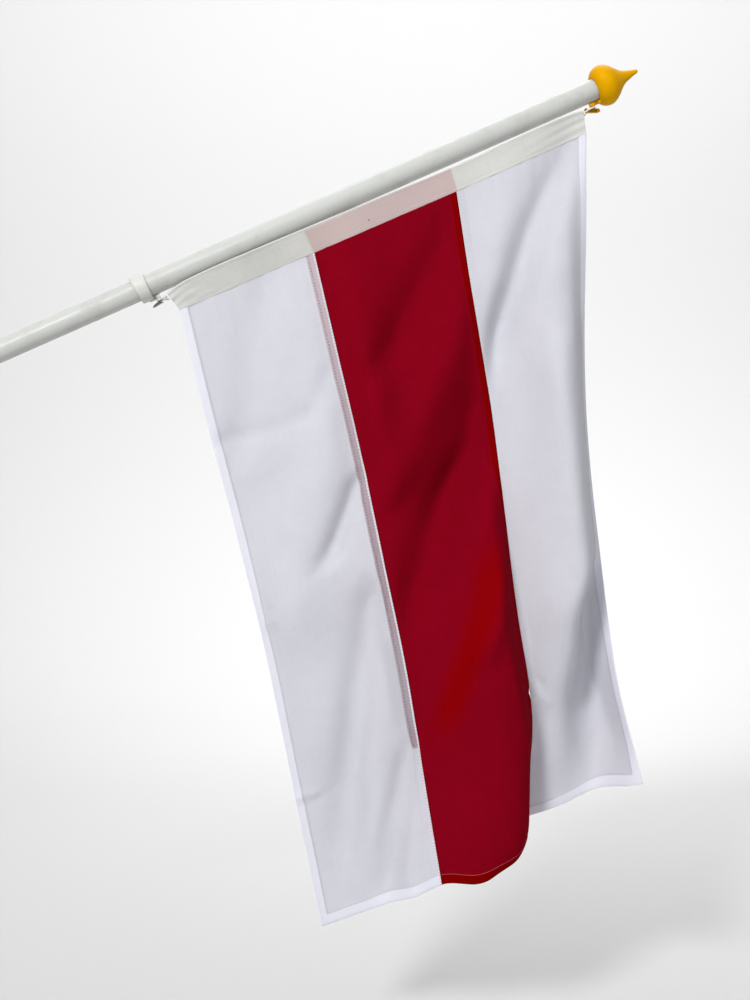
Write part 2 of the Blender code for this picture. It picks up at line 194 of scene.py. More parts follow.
def turned(profile, closed=False):
    """Spins an outline of (radius, height) points once round the pole's axis."""
    bm = bmesh.new()
    corners = [bm.verts.new((radius * MM, 0.0, height * MM)) for radius, height in profile]
    edges = [bm.edges.new(pair) for pair in zip(corners, corners[1:])]
    if closed:
        edges.append(bm.edges.new((corners[-1], corners[0])))
    bmesh.ops.spin(
        bm,
        geom=corners + edges,
        cent=(0, 0, 0),
        axis=(0, 0, 1),
        angle=2 * math.pi,
        steps=ROUND_STEPS,
        use_merge=True,
    )
    bmesh.ops.remove_doubles(bm, verts=bm.verts, dist=1e-6)
    return bm


def rounded_rim(radius, height, rim):
    """The rounded corner between a flat end and a round side, as (radius, height) points."""
    angles = np.linspace(0.0, math.pi / 2, RIM_POINTS)
    return [(radius - rim + rim * math.sin(a), height - rim + rim * math.cos(a)) for a in angles]


def rod_outline():
    """Half the pole's section: flat ends with rounded rims, and stops along the rod between them."""
    tip = CAP_PLACE + TIP_IN_CAP
    top = rounded_rim(POLE_RADIUS, tip, POLE_RIM)
    butt = [(radius, tip - height) for radius, height in reversed(top)]
    stops = [(POLE_RADIUS, height) for height in np.linspace(tip - ROD_END, ROD_END, ROD_STOPS)]
    return [(0, tip), *top, *stops, *butt, (0, 0)]


PAINT = (0.51, 0.52, 0.50, 1)
PAINT_RUBBED = (0.41, 0.41, 0.38, 1)
PAINT_STREAK = (0.50, 0.505, 0.48, 1)

pole_paint = Finish("white paint on the pole", Specular_IOR_Level=0.25)
along_pole = pole_paint.place.stretched((1.0, 1.0, 0.03), (0.0, POLE_SLOPE - math.pi / 2, 0.0))
grain = along_pole.noise(900.0, detail=4.0)
streaks = along_pole.noise(260.0, detail=3.0)
grubby = pole_paint.place.noise(24.0, detail=5.0, rough=0.65)
rubbed = grubby.spread(0.5, 0.75)
paint_colour = rubbed.blend(PAINT, PAINT_RUBBED)
paint_colour = streaks.spread(0.35, 0.7, 0.0, 0.35).blend(paint_colour, PAINT_STREAK)
pole_paint.lay(
    Base_Color=paint_colour,
    Roughness=rubbed * 0.2 + grain * 0.1 + 0.3,
    Normal=grain.relief(0.0004, 0.5),
)

rod = turned(rod_outline())
bmesh.ops.transform(rod, matrix=POLE_TILT, verts=rod.verts)
place_piece("pole_rod", mesh_of(rod, "pole_rod"), pole_paint, "pole", slot="pole_paint")

# The end cap is one glossy yellow moulding, an onion drawn out to a rounded point, pushed over the
# pole's tip. A tongue runs back from it under the pole and turns forward again as a hook.

CAP_BALL = 18.0
CAP_REAR = 14.0
PIECE_GAP = 0.3
CAP_OUTLINE = (
    (0.0, 42.0),
    (1.3, 41.6),
    (2.2, 40.6),
    (2.7, 39.0),
    (3.2, 36.4),
    (4.2, 32.8),
    (5.6, 29.0),
    (7.1, 24.5),
    (9.5, 20.5),
    (12.0, 17.3),
    (12.6, 16.7),
    (15.9, 13.2),
    (19.5, 9.0),
    (22.3, 4.6),
    (23.6, 0.0),
    (23.3, -4.0),
    (22.0, -7.8),
    (19.8, -11.0),
    (17.0, -13.0),
    (14.2, -CAP_REAR),
)
CAP_HOOK = (
    ((-14.8, 8.0, 4.0, 5.0), (-14.8, -17.0, 4.0, 5.0)),
    (
        (-15.6, -15.4, 3.0, 5.0),
        (-18.6, -14.8, 3.2, 5.0),
        (-20.5, -11.8, 3.6, 5.0),
        (-22.0, -7.6, 4.2, 5.0),
        (-23.6, -3.1, 4.4, 5.0),
        (-24.4, -1.0, 3.4, 4.2),
        (-24.8, 0.2, 1.6, 2.6),
    ),
)
HOOK_EDGE = 0.6
SOCKET_RIM = 0.6
CAP_YELLOW = (0.62, 0.29, 0.0, 1)
CAP_YELLOW_PALE = (0.72, 0.37, 0.0, 1)


def smooth_read(rows, at):
    """Reads a table's row at any value of its first column, along a smooth curve through its rows."""
    data = np.array(rows, float)
    stations, values = data[:, 0], data[:, 1:]
    slopes = np.gradient(values, stations, axis=0)
    k = int(np.clip(np.searchsorted(stations, at, side="right") - 1, 0, len(stations) - 2))
    span = stations[k + 1] - stations[k]
    t = (at - stations[k]) / span
    start = (1 + 2 * t) * (1 - t) ** 2 * values[k] + t * (1 - t) ** 2 * span * slopes[k]
    end = t * t * (3 - 2 * t) * values[k + 1] - t * t * (1 - t) * span * slopes[k + 1]
    return start + end


def rounded_line(points, stops_between):
    """More points on a smooth curve through the given ones."""
    rows = [(index, *point) for index, point in enumerate(points)]
    last = len(points) - 1
    return [smooth_read(rows, at) for at in np.linspace(0, last, last * stops_between + 1)]


def hook_bar(rows, base):
    """A flat bar with rounded edges through rows of (over, along, thickness, width)."""
    path = rounded_line(rows, 3)
    runs = np.gradient(np.array(path)[:, :2], axis=0)
    bm = bmesh.new()
    bmesh.ops.create_grid(bm, x_segments=1, y_segments=1, size=0.5)
    face = bm.faces[:][0]
    stand = Matrix.Identity(4)
    for index, ((over, along, thick, wide), run) in enumerate(zip(path, runs)):
        out = Vector((-run[0], 0.0, run[1])).normalized()
        sideways = Vector((0.0, 1.0, 0.0))
        turn = Matrix((sideways.cross(out), sideways, out)).transposed().to_4x4()
        size = Matrix.Diagonal((thick * MM, wide * MM, 1.0, 1.0))
        target = Matrix.Translation((-over * MM, 0.0, (base + along) * MM)) @ turn @ size
        if index:
            grown = bmesh.ops.extrude_face_region(bm, geom=[face])["geom"]
            face = next(item for item in grown if isinstance(item, bmesh.types.BMFace))
        bmesh.ops.transform(bm, matrix=target @ stand.inverted(), verts=face.verts)
        stand = target
    bmesh.ops.recalc_face_normals(bm, faces=bm.faces)
    bmesh.ops.bevel(
        bm,
        geom=[edge for edge in bm.edges if edge.calc_face_angle(0.0) > math.radians(50)],
        offset=HOOK_EDGE * MM,
        segments=3,
        affect="EDGES",
        profile=0.5,
        material=-1,
    )
    return bm


def moulded_with(body, bars, name):
    """Makes a turned body and the bars of its hook one closed mesh, as they come from the mould."""
    parts = []
    for bm in (body, *bars):
        bmesh.ops.transform(bm, matrix=POLE_TILT, verts=bm.verts)
        part = bpy.data.objects.new(name + "_former", mesh_of(bm, name))
        bpy.context.scene.collection.objects.link(part)
        parts.append(part)
    for bar in parts[1:]:
        union = parts[0].modifiers.new("hook", "BOOLEAN")
        union.operation = "UNION"
        union.solver = "EXACT"
        union.object = bar
    shown = parts[0].evaluated_get(bpy.context.evaluated_depsgraph_get())
    mesh = bpy.data.meshes.new_from_object(shown)
    for part in parts:
        bpy.data.objects.remove(part, do_unlink=True)
    mesh.name = name
    mesh.shade_smooth()
    mesh.set_sharp_from_angle(angle=math.radians(40))
    return mesh


cap_plastic = Finish("yellow cap plastic", Specular_IOR_Level=0.03)
cap_cloud = cap_plastic.place.noise(60.0, detail=4.0)
cap_scuffs = cap_plastic.place.noise(700.0, detail=5.0, rough=0.7)
cap_plastic.lay(
    Base_Color=cap_cloud.blend(CAP_YELLOW, CAP_YELLOW_PALE),
    Roughness=cap_scuffs.spread(0.3, 0.8, 0.3, 0.5),
    Normal=cap_scuffs.relief(0.0001, 0.4),
)
cap_socket = POLE_RADIUS + PIECE_GAP
cap_floor = TIP_IN_CAP + PIECE_GAP - CAP_BALL
cap_section = rounded_line(CAP_OUTLINE, 3)
cap_section[0] = (0.0, CAP_OUTLINE[0][1])
cap_section += [(cap_socket + SOCKET_RIM, -CAP_REAR), (cap_socket, SOCKET_RIM - CAP_REAR)]
cap_section += [(cap_socket, cap_floor), (0.0, cap_floor)]
cap_body = turned([(radius, CAP_PLACE + CAP_BALL + height) for radius, height in cap_section])
cap_mesh = moulded_with(cap_body, [hook_bar(bar, CAP_PLACE) for bar in CAP_HOOK], "end_cap")
place_piece("end_cap", cap_mesh, cap_plastic, "finial", slot="cap_plastic")

# The ring is a short white plastic sleeve pushed up the pole to the lower end of the heading. Its
# lower rim is cut askew, and its tongue turns back as a small hook for the other cord.

RING_PLACE = 431.5
RING_LENGTH = 15.0
RING_SLANT = 2.0
RING_OUTER = 16.5
RING_RIM = 1.1
RING_EASE = 0.4
RING_WALL_END = 3.0
RING_WHITE = (0.54, 0.535, 0.51, 1)
RING_WHITE_PALE = (0.61, 0.605, 0.58, 1)
RING_HOOK = (
    ((-15.3, 2.0, 5.0, 5.0), (-15.6, 22.0, 4.6, 5.0)),
    (
        (-17.0, 20.4, 3.0, 5.0),
        (-20.5, 19.4, 3.2, 5.0),
        (-22.3, 15.5, 3.4, 5.0),
        (-22.8, 11.0, 3.4, 5.0),
        (-23.5, 6.8, 3.0, 4.6),
        (-24.3, 3.8, 2.2, 3.6),
        (-25.0, 2.2, 1.2, 2.6),
    ),
)


def ring_outline():
    """The sleeve's wall with both rims rounded on the outside and eased on the inside."""
    half = RING_LENGTH / 2
    upper = rounded_rim(RING_OUTER, half, RING_RIM)
    wall_end = half - RING_WALL_END
    wall = [(RING_OUTER, height) for height in np.linspace(wall_end, -wall_end, RIM_POINTS)]
    lower = [(radius, -height) for radius, height in reversed(upper)]
    bore = POLE_RADIUS + PIECE_GAP
    inside = [(bore + RING_EASE, -half), (bore, RING_EASE - half)]
    inside += [(radius, -height) for radius, height in reversed(inside)]
    return [(radius, RING_PLACE + height) for radius, height in upper + wall + lower + inside]


ring_plastic = Finish("white ring plastic", Specular_IOR_Level=0.3)
ring_cloud = ring_plastic.place.noise(120.0, detail=4.0)
ring_scuffs = ring_plastic.place.noise(1500.0, detail=4.0, rough=0.7)
ring_plastic.lay(
    Base_Color=ring_cloud.blend(RING_WHITE, RING_WHITE_PALE),
    Roughness=ring_scuffs.spread(0.3, 0.8, 0.4, 0.6),
    Normal=ring_scuffs.relief(0.00008, 0.4),
)
ring_body = turned(ring_outline(), closed=True)
for vert in ring_body.verts:
    if vert.co.z < RING_PLACE * MM:
        vert.co.z += RING_SLANT * vert.co.x / RING_OUTER
ring_mesh = moulded_with(ring_body, [hook_bar(bar, RING_PLACE) for bar in RING_HOOK], "ring_clip")
place_piece("ring_clip", ring_mesh, ring_plastic, "collar", slot="ring_plastic")

# The cloth is three bands of thin cotton, cut 168, 180 and 168 wide and 750 long, with the threads
# running down the fly. Held along the slanting hoist, each band gathers into slanting folds.

BAND_WIDTHS = (168.0, 180.0, 168.0)
BAND_STARTS = (0.0, BAND_WIDTHS[0], BAND_WIDTHS[0] + BAND_WIDTHS[1])
HOIST = sum(BAND_WIDTHS)
FLY = 750.0
HEM_WIDTH = 10.0
BOTTOM_HEM = 12.5
CLOTH_CORNER = (435.0, 0.0, 155.0)
LEFT_EDGE = (
    (0, 0, 0, 0),
    (125, 29, 2, -121),
    (250, 60, 11, -240),
    (375, 90, 19, -360),
    (500, 115, 31, -481),
    (625, 139, 45, -602),
    (750, 164, 56, -723),
)
LOWER_SEAM = (
    (0, 153, 0, 68),
    (125, 181, -1, -52),
    (250, 209, 0, -172),
    (375, 234, -6, -293),
    (500, 259, -8, -414),
    (625, 279, -6, -536),
    (750, 299, -10, -657),
)
UPPER_SEAM = (
    (0, 317, 0, 141),
    (125, 337, 4, 16),
    (250, 360, 16, -108),
    (375, 375, 7, -234),
    (500, 390, 2, -359),
    (625, 411, 26, -482),
    (750, 399, 58, -600),
)
RIGHT_EDGE = (
    (0, 469, 0, 210),
    (125, 470, 6, 82),
    (250, 473, 25, -45),
    (375, 483, 40, -172),
    (500, 499, 46, -299),
    (625, 514, 34, -426),
    (750, 537, 4, -548),
)
Fold = namedtuple("Fold", "across_from down_from across_to down_to half_width rise")
LOWER_WHITE_FOLDS = (
    (122, -30, 20, 200, 30, -1.0),
    (168, 20, 100, 330, 34, 0.7),
    (172, 250, 92, 352, 18, -0.6),
    (50, 240, 60, 620, 46, 0.8),
    (150, 380, 30, 730, 28, -1.5),
    (124, 460, 92, 720, 24, 0.9),
    (172, 555, 88, 750, 20, -1.2),
    (152, 640, 124, 830, 26, 0.8),
)
RED_FOLDS = (
    (215, -40, 185, 320, 34, 0.9),
    (376, -10, 196, 180, 34, -0.7),
    (366, 90, 190, 310, 40, 0.7),
    (388, 185, 172, 470, 42, -1.0),
    (392, 350, 270, 520, 30, 0.7),
    (330, 300, 266, 800, 76, 1.6),
    (214, 630, 204, 880, 30, 0.25),
)
UPPER_WHITE_FOLDS = (
    (510, -30, 345, 230, 28, -1.1),
    (420, -30, 370, 160, 34, 0.5),
    (478, 0, 430, 600, 50, 1.5),
    (500, 470, 486, 740, 44, -1.1),
    (462, 590, 446, 820, 38, -1.1),
    (398, 440, 398, 740, 36, 0.25),
)
FOLD_RUN_OUT = 0.3
FOLD_DROOP = 0.22
FOLD_SEAM_SHARE = 0.2
DEEPEST_FOLD_AT_HEADING = 4.0
DEEPEST_FOLD = 64.0
FOLDS_FULL_AT = 260.0
LEAST_FOLD_SHAPE = 0.25
ROW_POINTS = 121
HALVINGS = 30
SETTLE_STEP = 7.5
SETTLE_REACH = 5
SETTLE_SPREAD = 1.6
BAND_LINES = ((LEFT_EDGE, LOWER_SEAM), (LOWER_SEAM, UPPER_SEAM), (UPPER_SEAM, RIGHT_EDGE))
BAND_FOLDS = (LOWER_WHITE_FOLDS, RED_FOLDS, UPPER_WHITE_FOLDS)


def ease(t):
    t = min(max(t, 0.0), 1.0)
    return t * t * (3 - 2 * t)


def fold_shape(folds, across, down):
    """The rises of all the folds that cross one row of a band, added up."""
    total = np.zeros_like(across)
    for fold in map(Fold._make, folds):
        part = (down - fold.down_from) / (fold.down_to - fold.down_from)
        run_out = ease((min(part, 1 - part) + FOLD_RUN_OUT / 6) / FOLD_RUN_OUT)
        middle = fold.across_from + (fold.across_to - fold.across_from) * part
        total += fold.rise * run_out * np.exp(-(((across - middle) / fold.half_width) ** 2))
    return total


def band_row(band, down):
    """One row of a band: the straight line between its two long lines, and the way its folds push."""
    low, high = (smooth_read(line, down) for line in BAND_LINES[band])
    share = np.linspace(0.0, 1.0, ROW_POINTS)
    chord = high - low
    straight = low + share[:, None] * chord
    held = np.minimum(1.0, np.minimum(share, 1 - share) / FOLD_SEAM_SHARE)
    across = BAND_STARTS[band] + share * BAND_WIDTHS[band]
    shape = fold_shape(BAND_FOLDS[band], across, down) * np.sin(held * math.pi / 2)
    out = np.array((chord[1], -chord[0], 0.0))
    out = out / np.linalg.norm(out) - np.array((0.0, 0.0, FOLD_DROOP))
    return straight, shape[:, None] * out


def fold_depth(band, down):
    """How deep the folds of a row are, so that the row keeps the width the band was cut to."""
    straight, push = band_row(band, down)
    shallow = DEEPEST_FOLD_AT_HEADING
    deepest = shallow + (DEEPEST_FOLD - shallow) * ease(down / FOLDS_FULL_AT)
    low = 0.0
    high = deepest / max(np.abs(push).max(), LEAST_FOLD_SHAPE)
    for _ in range(HALVINGS):
        middle = (low + high) / 2
        line = straight + middle * push
        if np.linalg.norm(np.diff(line, axis=0), axis=1).sum() < BAND_WIDTHS[band]:
            low = middle
        else:
            high = middle
    return low


def settled_depths():
    """The fold depths at even steps down the fly, each averaged with its neighbours."""
    steps = np.arange(0.0, FLY + 1.0, SETTLE_STEP)
    weights = np.exp(-np.linspace(-SETTLE_SPREAD, SETTLE_SPREAD, 2 * SETTLE_REACH + 1) ** 2)
    weights /= weights.sum()
    depths = []
    for band in range(3):
        raw = np.array([fold_depth(band, down) for down in steps])
        padded = np.pad(raw, SETTLE_REACH, mode="edge")
        depths.append(np.convolve(padded, weights, mode="valid"))
    return steps, depths


SETTLED = settled_depths()


def cloth_rows(across_stops, down_stops):
    """The middle surface of the whole cloth, as rows of points in millimetres."""
    steps, depths = SETTLED
    rows = np.zeros((len(down_stops), len(across_stops), 3))
    for r, down in enumerate(down_stops):
        for band in range(3):
            straight, push = band_row(band, down)
            line = straight + np.interp(down, steps, depths[band]) * push
            run = np.concatenate(([0.0], np.cumsum(np.linalg.norm(np.diff(line, axis=0), axis=1))))
            start, width = BAND_STARTS[band], BAND_WIDTHS[band]
            inside = (across_stops >= start - 1e-6) & (across_stops <= start + width + 1e-6)
            wanted = (across_stops[inside] - start) / width * run[-1]
            for axis in range(3):
                rows[r, inside, axis] = np.interp(wanted, run, line[:, axis])
    return rows + np.array(CLOTH_CORNER)


def unit(vectors):
    return vectors / np.linalg.norm(vectors, axis=-1, keepdims=True)


# Creases pressed or pulled into the cloth, over the hanging folds. Raised ones stand towards the
# viewer. The places are on the flat cloth, across from the lower free edge and down from the heading.
Crease = namedtuple("Crease", "across_from down_from across_to down_to half_width raised")
CREASES = (
    (0, 158, 70, 170, 10, -2.4),
    (60, 172, 124, 172, 12, -2.4),
    (112, 180, 158, 130, 12, -2.2),
    (4, 382, 26, 370, 6, 1.5),
    (0, 590, 34, 592, 5, 2.2),
    (4, 600, 60, 596, 9, -1.2),
    (168, 258, 106, 336, 9, -2.6),
    (166, 566, 86, 704, 13, -3.4),
    (146, 385, 100, 500, 17, -2.2),
    (104, 490, 34, 676, 19, -3.2),
    (164, 380, 128, 420, 7, -1.2),
    (352, 582, 330, 590, 5, -1.6),
    (352, 582, 372, 610, 5, 1.8),
    (352, 560, 366, 584, 4, -1.4),
    (196, 152, 222, 160, 3.5, 1.4),
    (222, 160, 244, 150, 3.5, -1.2),
)
GATHER_DEEP = 60.0
GATHER_RISE = 0.3
FLUTTER_RISE = 0.35
FLUTTER_FULL_AT = 80.0


def creased(points, normals, across, down):
    """Pushes a grid of points out by the creases, the slight gathers at the heading and a flutter."""
    place = np.stack(np.broadcast_arrays(across[None, :], down[:, None]), axis=-1)
    push = np.zeros(place.shape[:2])
    for crease in map(Crease._make, CREASES):
        start = np.array((crease.across_from, crease.down_from), float)
        run = np.array((crease.across_to, crease.down_to), float) - start
        length = np.linalg.norm(run)
        run /= length
        away = place - start
        part = away @ run / length
        off = away @ np.array((-run[1], run[0]))
        ends = np.clip(np.minimum(part, 1 - part) * 3 + 0.6, 0.0, 1.0)
        push += crease.raised * ends * ends * np.exp(-((off / crease.half_width) ** 2))
    gathers = np.exp(-down / GATHER_DEEP)[:, None]
    waves = np.sin(across / 5.3 + 1.3 * np.sin(across / 17.0)) + 0.6 * np.sin(across / 2.9 + 0.7)
    push += GATHER_RISE * gathers * waves[None, :]
    x, y = place[..., 0], place[..., 1]
    flutter = np.sin(x / 23.0 + y / 41.0 + 2.0 * np.sin(y / 97.0))
    flutter += 0.7 * np.sin(x / 13.0 - y / 29.0 + 1.5 * np.sin(x / 61.0))
    push += FLUTTER_RISE * flutter * np.minimum(1.0, down / FLUTTER_FULL_AT)[:, None]
    return points + push[..., None] * normals


def viewer_normals(points, across, down):
    """The normals of a grid of cloth points, on the viewer's side."""
    return unit(np.cross(np.gradient(points, down, axis=0), np.gradient(points, across, axis=1)))


def cloth_grid(across, down):
    """The creased middle surface of a stretch of the cloth, and its normals towards the viewer."""
    points = cloth_rows(across, down)
    points = creased(points, viewer_normals(points, across, down), across, down)
    return points, viewer_normals(points, across, down)


def laid_grid(name, points, normals, cut, thickness):
    """A closed sheet of two faces round a grid of points, with the flat cloth's places as its UV map."""
    rows, columns = points.shape[:2]
    bm = bmesh.new()
    bmesh.ops.create_grid(bm, x_segments=columns - 1, y_segments=rows - 1, size=1.0)
    cells = {}
    for vert in bm.verts:
        column = round((vert.co.x + 1) / 2 * (columns - 1))
        row = round((vert.co.y + 1) / 2 * (rows - 1))
        cells[vert] = (row, column)
    front = list(bm.verts)
    rim = [edge for edge in bm.edges if edge.is_boundary]
    copy = bmesh.ops.duplicate(bm, geom=bm.verts[:] + bm.edges[:] + bm.faces[:])
    twin = copy["vert_map"]
    back_rim = [copy["edge_map"][edge] for edge in rim]
    offset = normals * (thickness / 2)[..., None]
    for vert in front:
        cell = cells[vert]
        vert.co = (points[cell] + offset[cell]) * MM
        twin[vert].co = (points[cell] - offset[cell]) * MM
        cells[twin[vert]] = cell
    bmesh.ops.bridge_loops(bm, edges=rim + back_rim)
    layer = bm.loops.layers.uv.new("cut")
    for face in bm.faces:
        for loop in face.loops:
            loop[layer].uv = Vector(cut[cells[loop.vert]]) * MM
    bmesh.ops.recalc_face_normals(bm, faces=bm.faces)
    mesh = bpy.data.meshes.new(name)
    bm.to_mesh(mesh)
    bm.free()
    mesh.shade_smooth()
    return mesh


CLOTH_THICK = 0.45
HEM_THICK = 1.3
SEAM_THICK = 1.0
SEAM_ALLOWANCE = 11.0
EDGE_ROUND = 0.5
EDGE_ROLL = 1.6
RIM_THINNED = 0.45
THICKNESS_STEP = 0.6
LEAST_PITCH = 0.25


def fine_stops(start, end, pitch, extra):
    """Even stops, and close pairs of them where the cloth steps from one thickness to another."""
    even = np.linspace(start, end, round((end - start) / pitch) + 1)
    steps = [place + side * THICKNESS_STEP / 2 for place in extra for side in (-1, 1)]
    rims = [start + EDGE_ROUND, end - EDGE_ROUND]
    stops = np.unique(np.round(np.concatenate((even, steps, rims)), 3))
    keep = [stops[0]]
    for stop in stops[1:]:
        if stop - keep[-1] > LEAST_PITCH:
            keep.append(stop)
    keep[-1] = end
    return np.array(keep)


def step_up(distance, width):
    """1 within a doubled strip that is width wide, and 0 beyond it."""
    return np.clip((width - distance) / THICKNESS_STEP + 0.5, 0.0, 1.0)


def band_thickness(band, across, down):
    """The cloth's thickness: doubled in the hems and the seam allowances, thinned at the very rim."""
    start, end = BAND_STARTS[band], BAND_STARTS[band] + BAND_WIDTHS[band]
    thick = np.full((len(down), len(across)), CLOTH_THICK)
    hem = HEM_THICK - CLOTH_THICK
    seam = SEAM_THICK - CLOTH_THICK
    extra = np.broadcast_to(hem * step_up(FLY - down, BOTTOM_HEM)[:, None], thick.shape).copy()
    if band == 0:
        extra = np.maximum(extra, hem * step_up(across - start, HEM_WIDTH)[None, :])
        extra = np.maximum(extra, seam * step_up(end - across, SEAM_ALLOWANCE)[None, :])
        extra = np.maximum(extra, hem * step_up(end - across, EDGE_ROLL)[None, :])
    if band == 1:
        extra = np.maximum(extra, seam * step_up(end - across, SEAM_ALLOWANCE)[None, :])
    if band == 2:
        extra = np.maximum(extra, hem * step_up(end - across, HEM_WIDTH)[None, :])
    thick += extra
    rim = np.minimum(np.minimum(across - start, end - across)[None, :], (FLY - down)[:, None])
    return thick * np.where(rim < EDGE_ROUND * 0.9, RIM_THINNED, 1.0)


BAND_NAMES = ("lower_white_band", "red_band", "upper_white_band")
BAND_NODES = ("lower_white_panel", "red_panel", "upper_white_panel")
THREAD_PAIR = 0.84
TOP = -100.0
WEAVE_RELIEF = 0.00022
WEAVE_STRENGTH = 0.35


def woven(finish):
    """The place on the flat cloth, its millimetres across and down, the threads and their slubs."""
    cut = finish.place.node("UVMap", {"uv_map": "cut"}, {})
    across = cut.node("SeparateXYZ", {}, {"Vector": cut}) * (1.0 / MM)
    down = cut.node("SeparateXYZ", {}, {"Vector": cut}, output=1) * (1.0 / MM)
    around = 2 * math.pi / THREAD_PAIR
    threads = (across * around).maths("COSINE") * (down * around).maths("COSINE")
    warp = cut.stretched((1.0, 0.02, 1.0)).noise(1500.0, detail=2.0)
    weft = cut.stretched((0.02, 1.0, 1.0)).noise(1500.0, detail=2.0)
    return cut, across, down, threads, warp * 0.5 + weft * 0.5


def cloth_body(cut, slubs, thin, thick):
    """The colour of single cloth, paler along its thicker threads and a little clouded."""
    body = slubs.spread(0.35, 0.65).blend(thin, thick)
    return cut.noise(45.0, detail=5.0, rough=0.6).spread(0.3, 0.7, 0.0, 0.6).blend(body, thick)


def let_light_through(finish, glow, share):
    """Mixes in light that falls through the cloth from behind."""
    tree = finish.material.node_tree
    through = tree.nodes.new("ShaderNodeBsdfTranslucent")
    through.inputs["Color"].default_value = glow
    mix = tree.nodes.new("ShaderNodeMixShader")
    if isinstance(share, Wire):
        tree.links.new(share.socket, mix.inputs["Fac"])
    else:
        mix.inputs["Fac"].default_value = share
    tree.links.new(finish.shader.outputs[0], mix.inputs[1])
    tree.links.new(through.outputs[0], mix.inputs[2])
    tree.links.new(mix.outputs[0], finish.ending.inputs["Surface"])


WHITE = (0.725, 0.72, 0.77, 1)
WHITE_THIN = (0.635, 0.63, 0.675, 1)
WHITE_DOUBLE = (0.78, 0.785, 0.86, 1)
# A grey that paints shade on the white, along the hems and over one fold; it also greys the strip by the
# upper seam
WHITE_PAINTED_SHADE_AND_SEAM_GREY = (0.40, 0.39, 0.42, 1)
PINK_TINT_NEAR_RED = (0.50, 0.38, 0.41, 1)
ALLOWANCE_TOP = (0.56, 0.44, 0.47, 1)
ALLOWANCE_LOW = (0.34, 0.24, 0.265, 1)
DARK_HOLE = (0.16, 0.07, 0.09, 1)
BEAD = (0.92, 0.86, 0.90, 1)
BEAD_DARK = (0.62, 0.46, 0.50, 1)
THROUGH_WHITE = (0.74, 0.75, 0.80, 1)
STITCH_PITCH = 3.5
ALLOWANCE_END = 588.0
HEM_SHOWS = HEM_WIDTH - 0.4
BOTTOM_SHOWS = FLY - BOTTOM_HEM + 0.4
HEM_LINE = 1.2

# What shows on the white cloth, each mark by its millimetres across and down: the hems, with a painted
# shadow along their inner edges, the raw edges behind the seams, the pink near the red, a painted shade
# over one fold by the lower seam, the beads and holes of the stitching
white_cloth = Finish("white cotton", Roughness=0.9, Specular_IOR_Level=0.1)
cut, across, down, threads, slubs = woven(white_cloth)
inside_hem = across.between(HEM_SHOWS, HOIST - HEM_SHOWS, 0.6) * down.between(TOP, BOTTOM_SHOWS, 0.6)
# Painted shadow: a thin grey line along the inner edge of each hem, where the hem's step would cast shade
inner = across.between(HEM_SHOWS + HEM_LINE, HOIST - HEM_SHOWS - HEM_LINE, 0.8)
inner = inner * down.between(TOP, BOTTOM_SHOWS - HEM_LINE, 0.8)
hem_painted_shadow = inside_hem * (1.0 - inner)
allowance_down = down.between(TOP, ALLOWANCE_END, 4.0)
allowance = across.between(157.0, 166.0, 0.8) * allowance_down
# Painted shade: a soft grey patch over a fold beside the lower seam, about half way down the fly
fold_painted_shade = across.between(142.0, 170.0, 12.0) * down.between(460.0, 555.0, 40.0)
# A soft pink tint on the white beside the red, in the middle part of the fly
red_near = across.between(118.0, 172.0, 40.0) * down.between(360.0, 660.0, 160.0)
red_near = red_near + across.between(346.0, 392.0, 30.0) * down.between(300.0, 560.0, 160.0)
upper_down = down.between(TOP, 110.0, 140.0)
upper_allowance = across.between(346.0, 356.8, 0.8) * upper_down
upper_line = across.between(356.0, 357.2, 0.8) * upper_down
folded_edge = across.between(165.8, 170.0, 0.5) + across.between(346.0, 348.7, 0.3)
rhythm = (down * (2 * math.pi / STITCH_PITCH) + cut.noise(90.0) * 5.0).maths("COSINE")
holes = rhythm.spread(0.0, 0.6) * across.between(158.8, 160.6, 0.8) * allowance_down
worn = cut.noise(420.0, detail=4.0).spread(0.35, 0.6, 0.7, 1.0)
# The painted hem shadow at 0.35, and the grey of the upper seam's strip and edge line at 0.10 and 0.12
seam_grey_and_hem_painted_shadow = upper_allowance * 0.10 + upper_line * 0.12 + hem_painted_shadow * 0.35
white_colour = inside_hem.blend(WHITE_DOUBLE, cloth_body(cut, slubs, WHITE_THIN, WHITE))
white_colour = (red_near * 0.12).blend(white_colour, PINK_TINT_NEAR_RED)
allowance_colour = down.spread(50.0, 360.0).blend(ALLOWANCE_TOP, ALLOWANCE_LOW)
white_colour = (allowance * worn).blend(white_colour, allowance_colour)
# The painted fold shade, then the painted hem shadow and the upper seam's grey
white_colour = (fold_painted_shade * 0.35).blend(white_colour, WHITE_PAINTED_SHADE_AND_SEAM_GREY)
white_colour = seam_grey_and_hem_painted_shadow.blend(white_colour, WHITE_PAINTED_SHADE_AND_SEAM_GREY)
white_colour = folded_edge.blend(white_colour, rhythm.spread(-1.0, 0.2).blend(BEAD_DARK, BEAD))
white_colour = (holes * 0.8).blend(white_colour, DARK_HOLE)
white_cloth.lay(
    Base_Color=white_colour,
    Normal=(threads * 0.5 + slubs * 1.6).relief(WEAVE_RELIEF, WEAVE_STRENGTH),
)
let_light_through(white_cloth, THROUGH_WHITE, inside_hem * 0.14 + 0.18)

RED = (0.272, 0.0012, 0.0125, 1)
RED_THIN = (0.220, 0.0006, 0.0080, 1)
RED_DOUBLE = (0.235, 0.0, 0.0004, 1)
RED_EDGE = (0.085, 0.0, 0.0004, 1)
# A brighter red for painted light on a fold
RED_PAINTED_LIGHT = (0.285, 0.0, 0.0008, 1)
THROUGH_RED = (0.42, 0.0008, 0.006, 1)
GLOW_SLANT = math.radians(32.2)
